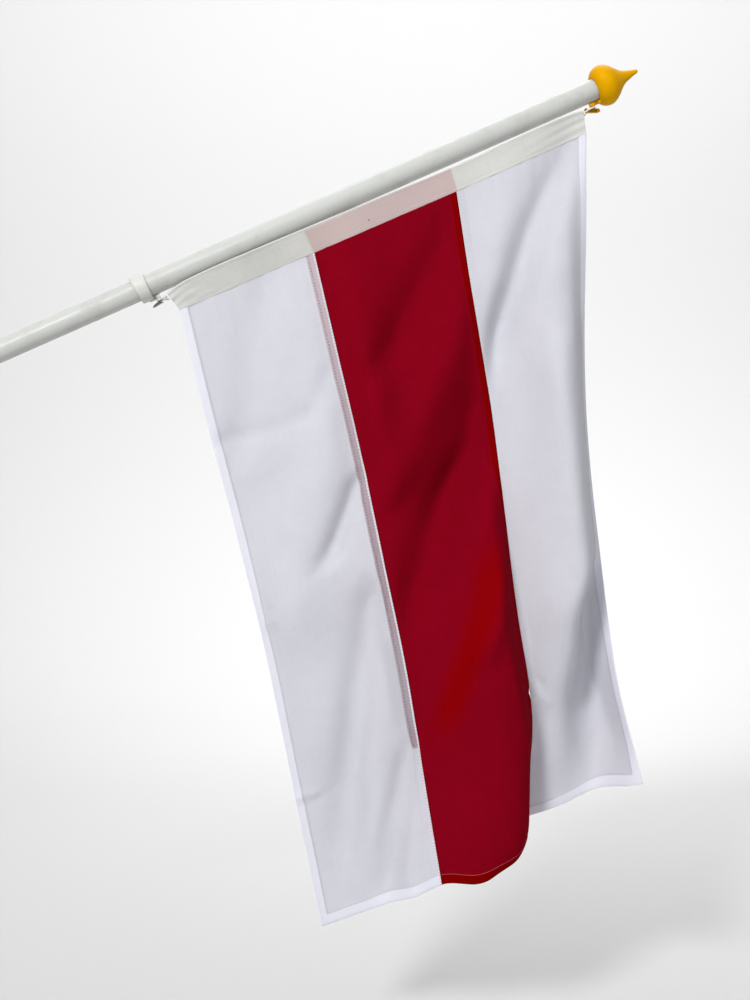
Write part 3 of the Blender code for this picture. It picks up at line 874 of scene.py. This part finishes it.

# On the red: the doubled hem and seam allowance, the folded edges, and a slanting stretch of painted
# light, a brighter red along a fold
red_cloth = Finish("red cotton", Roughness=0.95, Specular_IOR_Level=0.02)
cut, across, down, threads, slubs = woven(red_cloth)
doubled = down.between(738.0, 760.0, 0.6) + across.between(340.5, 360.0, 1.0)
dark_edge = across.between(160.0, 169.0, 0.6) + across.between(347.2, 360.0, 0.4)
red_colour = doubled.maths("MINIMUM", 1.0).blend(cloth_body(cut, slubs, RED_THIN, RED), RED_DOUBLE)
slant = across * math.cos(GLOW_SLANT) + down * math.sin(GLOW_SLANT)
fall = down * math.cos(GLOW_SLANT) - across * math.sin(GLOW_SLANT)
# Painted light: a slanting streak of brighter red across the middle of the band
glow = slant.between(458.0, 490.0, 22.0) * fall.between(170.0, 380.0, 70.0)
red_colour = (glow * 0.85).blend(red_colour, RED_PAINTED_LIGHT)
red_cloth.lay(
    Base_Color=dark_edge.blend(red_colour, RED_EDGE),
    Normal=(threads * 0.5 + slubs * 1.6).relief(WEAVE_RELIEF, WEAVE_STRENGTH),
)
let_light_through(red_cloth, THROUGH_RED, 0.28)

ROW_PITCH = 3.75
COLUMN_PITCH = 3.5
band_grids = []
for band, name in enumerate(BAND_NAMES):
    start, end = BAND_STARTS[band], BAND_STARTS[band] + BAND_WIDTHS[band]
    low_strip = HEM_WIDTH if band == 0 else SEAM_ALLOWANCE
    high_strip = HEM_WIDTH if band == 2 else SEAM_ALLOWANCE
    steps = (start + low_strip, end - high_strip, end - EDGE_ROLL)
    across_stops = fine_stops(start, end, COLUMN_PITCH, steps)
    down_stops = fine_stops(0.0, FLY, ROW_PITCH, (FLY - BOTTOM_HEM,))
    points, normals = cloth_grid(across_stops, down_stops)
    band_grids.append((across_stops, down_stops, points, normals))
    cut_places = np.stack(np.broadcast_arrays(across_stops[None, :], down_stops[:, None]), axis=-1)
    thickness = band_thickness(band, across_stops, down_stops)
    mesh = laid_grid(name, points, normals, cut_places, thickness)
    finish = red_cloth if band == 1 else white_cloth
    slot = "red_cloth" if band == 1 else "white_cloth"
    piece = place_piece(name, mesh, finish, BAND_NODES[band], slot=slot)

# The heading is an off-white tape folded over the raw upper edge of the three bands and sewn
# through. Its ends are tucked in and a little crumpled, and the red shows through it in the middle.

HEADING_TOP_LINE = (
    (455, -4.0, -17.2),
    (463, -6.4, -14.8),
    (472, -8.6, -13.2),
    (490, -10.0, -12.1),
    (510, -10.3, -11.6),
    (535, -10.3, -11.6),
    (560, -10.0, -12.0),
    (585, -9.7, -12.3),
    (615, -9.4, -12.9),
    (646, -8.8, -13.3),
    (693, -7.5, -14.2),
    (739, -6.0, -14.9),
    (785, -4.0, -16.2),
    (832, -3.5, -16.6),
    (878, -4.6, -15.4),
    (925, -5.0, -14.8),
    (955, -4.4, -15.1),
    (972, -3.0, -16.0),
    (981, -2.0, -17.4),
)
TAPE_THICK = 1.5
TAPE_ROLL = 1.2
TAPE_ROLL_FADE = 1.6
TAPE_RIM_THICK = 0.3
TAPE_FOOT_THICK = 0.7
TAPE_OVERLAP = 0.8
TAPE_PITCH = 3.0
TAPE_FOOT_ROWS = (0.0, 0.012, 0.03)
TAPE_TOP_ROWS = (0.91, 0.935, 0.96, 0.98, 0.993, 1.0)
CRUMPLED_LOW = 24.0
CRUMPLED_HIGH = 42.0
TAPE_THIN = (0.60, 0.60, 0.575, 1)
TAPE_BODY = (0.69, 0.69, 0.665, 1)
TAPE_OVER_RED = (0.57, 0.43, 0.42, 1)
TAPE_LINES = (0.36, 0.35, 0.34, 1)
SPECK = (0.06, 0.04, 0.04, 1)
SPECK_PLACE = (0.2403, 0.0095, 0.0)
THROUGH_TAPE = (0.66, 0.62, 0.58, 1)


def pole_point(along, back, over):
    """World place, in millimetres, of a point given along, behind and over the pole's axis."""
    rise, run = math.sin(POLE_SLOPE), math.cos(POLE_SLOPE)
    return np.array((along * run - over * rise, back, along * rise + over * run))


def heading_top(share):
    """A place on the folded upper edge of the heading, by its share of the way along the tape."""
    start, end = HEADING_TOP_LINE[0][0], HEADING_TOP_LINE[-1][0]
    along = start + share * (end - start)
    back, over = smooth_read(HEADING_TOP_LINE, along)
    return pole_point(along, back, over)


def tape_wrinkles(across, height):
    """How far the tape stands out: crumpled at its lower end, three long wrinkles at its upper end."""
    left = np.exp(-across / CRUMPLED_LOW)
    right = np.exp(-(HOIST - across) / CRUMPLED_HIGH)
    waves = 0.45 * left * np.sin(2 * math.pi * (1.6 * height + across / 46.0))
    waves += 0.4 * left * np.sin(2 * math.pi * (3.1 * height - across / 70.0) + 1.0)
    waves += 0.5 * right * np.sin(2 * math.pi * (2.9 * height + (HOIST - across) / 120.0) + 0.6)
    waves += 0.22 * np.sin(across / 31.0 + 2.0 * np.sin(across / 77.0)) * np.sin(math.pi * height)
    return waves * np.clip((0.93 - height) / 0.12, 0.0, 1.0) * np.clip(height / 0.1, 0.0, 1.0)


def tape_facing(points):
    """The normals of the tape's grid of points, on the viewer's side."""
    climb = np.gradient(points, heights, axis=0)
    return unit(np.cross(np.gradient(points, across_stops, axis=1), climb))


across_stops = fine_stops(0.0, HOIST, TAPE_PITCH, ())
heights = np.concatenate((TAPE_FOOT_ROWS, np.linspace(0.07, 0.88, 20), TAPE_TOP_ROWS))
lower = cloth_rows(across_stops, np.array((0.0,)))[0]
top = np.array([heading_top(place / HOIST) for place in across_stops])
tape_tall = np.linalg.norm(top - lower, axis=-1)
lower -= unit(top - lower) * TAPE_OVERLAP
tape_points = lower[None] + (top - lower)[None] * heights[:, None, None]
wrinkles = tape_wrinkles(across_stops[None, :], heights[:, None])
tape_points = tape_points + wrinkles[..., None] * tape_facing(tape_points)
tape_normals = tape_facing(tape_points)
below_top = (1.0 - heights)[:, None] * tape_tall[None, :]
rolled = 1.0 - (1.0 - np.minimum(below_top, TAPE_ROLL) / TAPE_ROLL) ** 2
roll_share = np.exp(-(((below_top - TAPE_ROLL).clip(0.0) / TAPE_ROLL_FADE) ** 2))
thickness = TAPE_THICK + (2 * TAPE_ROLL - TAPE_THICK) * roll_share
thickness = np.maximum(thickness * np.sqrt(rolled), TAPE_RIM_THICK)
thickness[0] = TAPE_FOOT_THICK
up_places = heights[:, None] * tape_tall[None, :]
cut_places = np.stack(np.broadcast_arrays(across_stops[None, :], up_places), axis=-1)
mesh = laid_grid("heading_fold", tape_points, tape_normals, cut_places, thickness)

heading_tape = Finish("folded off-white tape", Roughness=0.9, Specular_IOR_Level=0.1)
cut, across, up_tape, threads, slubs = woven(heading_tape)
red_behind = across.between(167.5, 349.0, 3.0) * up_tape.between(TOP, 26.0, 3.0)
red_behind = red_behind * cut.noise(300.0).spread(0.2, 0.8, 0.75, 0.95)
faint_lines = up_tape.between(18.0, 18.6, 0.4) + up_tape.between(20.8, 21.4, 0.4)
sewn_line = up_tape.between(4.4, 5.2, 0.6)
speck_away = cut.node("VectorMath", {"operation": "DISTANCE"}, {0: cut, 1: SPECK_PLACE}, output=1)
tape_colour = red_behind.blend(cloth_body(cut, slubs, TAPE_THIN, TAPE_BODY), TAPE_OVER_RED)
tape_colour = (faint_lines * 0.12 + sewn_line * 0.22).blend(tape_colour, TAPE_LINES)
tape_colour = (1.0 - speck_away.spread(0.0005, 0.0011)).blend(tape_colour, SPECK)
heading_tape.lay(
    Base_Color=tape_colour,
    Normal=(threads * 0.5 + slubs * 1.6 - faint_lines - sewn_line).relief(0.0003, 0.4),
)
let_light_through(heading_tape, THROUGH_TAPE, 0.12)
piece = place_piece("heading_fold", mesh, heading_tape, "heading", slot="heading_tape")

# The flag is sewn with a fine lockstitch: round every hem, along both seams and along the heading,
# in white thread, which looks pink where it is pulled into the red. Of the seams, only the lower one gets
# threads here.

THREAD_THICK = 0.26
SEWN_IN = 1.2
SUNK_IN = 0.04
STITCHES_AT_ONCE = 16
LOWER_SEAM_END = 166.0
UPPER_SEAM_START = 350.0
BEAD_PLACE = 166.9
BEAD_THICK = 0.4
BEAD_LENGTH = 2.4
RED_HEM = (169.5, 346.5)
RED_PITCH = 3.1
RED_LENGTH = 2.7
FROM_END = 2.0
TAPE_FROM_END = 4.0
TAPE_SEWN_UP = 0.16


def spot(grid, across, down):
    """A place on a sheet's middle surface and its normal, for a place on the flat cloth."""
    stops_across, stops_down, points, normals = grid
    column = int(np.clip(np.searchsorted(stops_across, across) - 1, 0, len(stops_across) - 2))
    row = int(np.clip(np.searchsorted(stops_down, down) - 1, 0, len(stops_down) - 2))
    right = (across - stops_across[column]) / (stops_across[column + 1] - stops_across[column])
    below = (down - stops_down[row]) / (stops_down[row + 1] - stops_down[row])
    found = []
    for values in (points, normals):
        near, far = values[row], values[row + 1]
        near = near[column] * (1 - right) + near[column + 1] * right
        far = far[column] * (1 - right) + far[column + 1] * right
        found.append(near * (1 - below) + far * below)
    return found[0], unit(found[1])


def sewn(bm, grid, start, end, lift, pitch=3.4, length=2.6, thick=THREAD_THICK):
    """Adds a straight line of stitches on both faces of a sheet, each a spindle of thread."""
    start, end = np.array(start, float), np.array(end, float)
    total = np.linalg.norm(end - start)
    way = (end - start) / total
    places = np.arange(0.0, total - length, pitch)
    for handful in np.array_split(places, len(places) // STITCHES_AT_ONCE + 1):
        few = bmesh.new()
        for at in handful:
            near, normal = spot(grid, *(start + way * at))
            far, _ = spot(grid, *(start + way * (at + length)))
            run = unit(far - near)
            turn = Matrix((np.cross(normal, run), normal, run)).transposed().to_4x4()
            size = Matrix.Diagonal((thick, thick, np.linalg.norm(far - near) / 2, 1.0 / MM)) * MM
            for side in (1, -1):
                centre = ((near + far) / 2 + side * lift * normal) * MM
                place = Matrix.Translation(centre) @ turn @ size
                bmesh.ops.create_uvsphere(few, u_segments=6, v_segments=4, radius=1.0, matrix=place)
        stretch = bpy.data.meshes.new("stretch")
        few.to_mesh(stretch)
        few.free()
        bm.from_mesh(stretch)
        bpy.data.meshes.remove(stretch)


def thread_finish(name, colour, dark):
    finish = Finish(name, Roughness=0.75, Specular_IOR_Level=0.2)
    fibres = finish.place.noise(3500.0, detail=3.0)
    finish.lay(Base_Color=fibres.spread(0.3, 0.7).blend(dark, colour), Normal=fibres.relief(0.0002, 0.5))
    return finish


white_thread = thread_finish("white thread", (0.80, 0.81, 0.86, 1), (0.62, 0.63, 0.68, 1))
pink_thread = thread_finish("thread sunk in the red", (0.62, 0.20, 0.24, 1), (0.45, 0.08, 0.11, 1))
tape_thread = thread_finish("heading thread", (0.78, 0.78, 0.75, 1), (0.60, 0.60, 0.57, 1))
hem_lift = HEM_THICK / 2 - SUNK_IN
low_side = HEM_WIDTH - SEWN_IN
high_side = HOIST - low_side
bottom = FLY - BOTTOM_HEM + SEWN_IN
lower_band, red_band, upper_band = band_grids

white_stitches = bmesh.new()
sewn(white_stitches, lower_band, (low_side, FROM_END), (low_side, bottom), hem_lift)
sewn(white_stitches, lower_band, (low_side, bottom), (LOWER_SEAM_END, bottom), hem_lift)
bead_line = ((BEAD_PLACE, FROM_END), (BEAD_PLACE, ALLOWANCE_END))
sewn(white_stitches, lower_band, *bead_line, hem_lift, STITCH_PITCH, BEAD_LENGTH, BEAD_THICK)
sewn(white_stitches, upper_band, (high_side, FROM_END), (high_side, bottom), hem_lift)
sewn(white_stitches, upper_band, (UPPER_SEAM_START, bottom), (high_side, bottom), hem_lift)
place_piece("white_stitches", mesh_of(white_stitches, "white_stitches"), white_thread, slot="white_cloth")

pink_stitches = bmesh.new()
red_line = [(place, bottom) for place in RED_HEM]
sewn(pink_stitches, red_band, *red_line, hem_lift, RED_PITCH, RED_LENGTH)
place_piece("pink_stitches", mesh_of(pink_stitches, "pink_stitches"), pink_thread, slot="red_cloth")

tape_stitches = bmesh.new()
tape_sheet = (across_stops, heights, tape_points, tape_normals)
tape_line = [(place, TAPE_SEWN_UP) for place in (TAPE_FROM_END, HOIST - TAPE_FROM_END)]
sewn(tape_stitches, tape_sheet, *tape_line, TAPE_THICK / 2 - 0.05)
place_piece("tape_stitches", mesh_of(tape_stitches, "tape_stitches"), tape_thread, slot="heading_tape")

# The cords are short lengths of two-ply string, one cream and one white. Both ends of each are sewn
# into the heading, and the loop between them is hooked over the tongue of the cap or the ring.

CORD_RADIUS = 1.2
CORD_TURN = 3.2
CORD_SIDES = 14
CORD_STOPS = 12
PLY_DEEP = 0.28
OUTER_LOOP = (
    (-18.2, -3.3, -20.0),
    (-15.0, -4.7, -19.6),
    (-10.5, -5.0, -19.2),
    (-6.0, -3.6, -18.9),
    (-4.2, 0.0, -18.8),
    (-6.0, 3.6, -18.9),
    (-10.5, 5.0, -19.4),
    (-15.0, 4.7, -20.4),
    (-18.2, 4.0, -21.8),
)
INNER_LOOP = (
    (22.7, -4.0, -19.6),
    (19.0, -4.7, -19.6),
    (14.5, -4.4, -19.5),
    (11.2, -2.7, -19.45),
    (10.0, 0.0, -19.45),
    (11.2, 2.7, -19.45),
    (14.5, 4.4, -19.8),
    (19.0, 4.6, -20.8),
    (22.9, 3.8, -22.4),
)


def cord_mesh(name, route, start):
    """Two plies twisted round each other along a smooth curve, as one closed tube."""
    knots = [pole_point(start + along, back, over) for along, back, over in route]
    path = np.array(rounded_line(knots, CORD_STOPS))
    runs = unit(np.gradient(path, axis=0))
    travel = np.concatenate(([0.0], np.cumsum(np.linalg.norm(np.diff(path, axis=0), axis=1))))
    side = np.cross(runs[0], (0.0, 1.0, 0.0))
    rings = np.zeros((len(path), CORD_SIDES + 1, 3))
    cut = np.zeros((len(path), CORD_SIDES + 1, 2))
    for index, (place, run, length) in enumerate(zip(path, runs, travel)):
        side = unit(side - run * (side @ run))
        other = np.cross(run, side)
        for step in range(CORD_SIDES + 1):
            angle = 2 * math.pi * step / CORD_SIDES
            ply = abs(math.cos(angle - math.pi * length / CORD_TURN))
            radius = CORD_RADIUS * (1.0 - PLY_DEEP + PLY_DEEP * ply)
            rings[index, step] = place + radius * (math.cos(angle) * side + math.sin(angle) * other)
            cut[index, step] = (length, angle * CORD_RADIUS)
    bm = bmesh.new()
    bmesh.ops.create_grid(bm, x_segments=CORD_SIDES, y_segments=len(path) - 1, size=1.0)
    layer = bm.loops.layers.uv.new("cut")
    cells = {}
    for vert in bm.verts:
        step = round((vert.co.x + 1) / 2 * CORD_SIDES)
        index = round((vert.co.y + 1) / 2 * (len(path) - 1))
        cells[vert] = (index, step)
    for face in bm.faces:
        for loop in face.loops:
            loop[layer].uv = Vector(cut[cells[loop.vert]]) * MM
    for vert, cell in cells.items():
        vert.co = rings[cell] * MM
    bmesh.ops.remove_doubles(bm, verts=bm.verts, dist=1e-6)
    bmesh.ops.holes_fill(bm, edges=[edge for edge in bm.edges if edge.is_boundary])
    return mesh_of(bm, name, sharp=80)


def cord_finish(name, colour, dark):
    finish = Finish(name, Roughness=0.8, Specular_IOR_Level=0.2)
    cut = finish.place.node("UVMap", {"uv_map": "cut"}, {})
    fibres = cut.stretched((1.0, 0.3, 1.0), (0.0, 0.0, 0.9)).noise(4000.0, detail=3.0)
    finish.lay(
        Base_Color=fibres.spread(0.3, 0.7).blend(dark, colour),
        Normal=fibres.relief(0.0003, 0.6),
    )
    return finish


cream_cord = cord_finish("cream cord", (0.78, 0.71, 0.54, 1), (0.62, 0.54, 0.38, 1))
white_cord = cord_finish("white cord", (0.76, 0.76, 0.74, 1), (0.58, 0.58, 0.56, 1))
mesh = cord_mesh("outer_cord", OUTER_LOOP, CAP_PLACE)
place_piece("outer_cord", mesh, cream_cord, "outer_loop", slot="cream_cord")
mesh = cord_mesh("inner_cord", INNER_LOOP, RING_PLACE)
place_piece("inner_cord", mesh, white_cord, "inner_loop", slot="white_cord")

# The studio is a pale round floor that curves up into its own wall far behind. One wide soft lamp
# stands high on the left in front and a weak one on the right. Two more light the wall's upper half
# and the floor behind the flag.

FLOOR_LEVEL = -720.0
FLOOR_RADIUS = 2400.0
COVE_RADIUS = 2200.0
WALL_TOP = 5000.0
COVE_STEPS = 24

floor_paint = Finish("pale floor", Roughness=0.9)
floor_paint.shader.inputs["Base Color"].default_value = (0.50, 0.50, 0.50, 1)
floor_line = [(0.0, FLOOR_LEVEL)]
for angle in np.linspace(0.0, math.pi / 2, COVE_STEPS + 1):
    height = FLOOR_LEVEL + COVE_RADIUS * (1 - math.cos(angle))
    floor_line.append((FLOOR_RADIUS + COVE_RADIUS * math.sin(angle), height))
floor_line.append((FLOOR_RADIUS + COVE_RADIUS, WALL_TOP))
floor_bm = turned(floor_line)
bmesh.ops.translate(floor_bm, vec=(CAMERA_AIM.x, 0.0, 0.0), verts=floor_bm.verts)
floor_mesh = bpy.data.meshes.new("floor")
floor_bm.to_mesh(floor_mesh)
floor_bm.free()
floor_mesh.shade_smooth()
floor_mesh.materials.append(floor_paint.material)
floor = bpy.data.objects.new("floor", floor_mesh)
bpy.context.scene.collection.objects.link(floor)

# Each lamp: its place and the place it points at, both from the camera's aim, its size, the angle of
# its beam and its watts
LAMPS = (
    ("key", (-2.1, -3.7, 2.6), (0.0, 0.0, 0.0), 1.0, 150, 134.0),
    ("fill", (1.9, -2.6, 0.2), (0.0, 0.0, 0.0), 1.6, 150, 8.0),
    ("wall_lamp", (0.3, 1.2, 2.8), (0.3, 4.6, 2.3), 3.8, 140, 114.0),
    ("floor_lamp", (0.45, 1.7, 2.4), (0.5, 1.9, -0.7), 2.4, 110, 41.0),
)
for name, place, target, size, beam, watts in LAMPS:
    lamp_data = bpy.data.lights.new(name, "AREA")
    lamp_data.shape = "DISK"
    lamp_data.size = size
    lamp_data.spread = math.radians(beam)
    lamp_data.energy = watts
    lamp = bpy.data.objects.new(name, lamp_data)
    lamp.location = CAMERA_AIM + Vector(place)
    lamp.rotation_euler = (Vector(target) - Vector(place)).to_track_quat("-Z", "Y").to_euler()
    bpy.context.scene.collection.objects.link(lamp)

world = bpy.data.worlds.new("soft light")
world.use_nodes = True
background = world.node_tree.nodes["Background"]
background.inputs["Color"].default_value = (1.0, 1.0, 1.0, 1)
background.inputs["Strength"].default_value = 0.72
bpy.context.scene.world = world
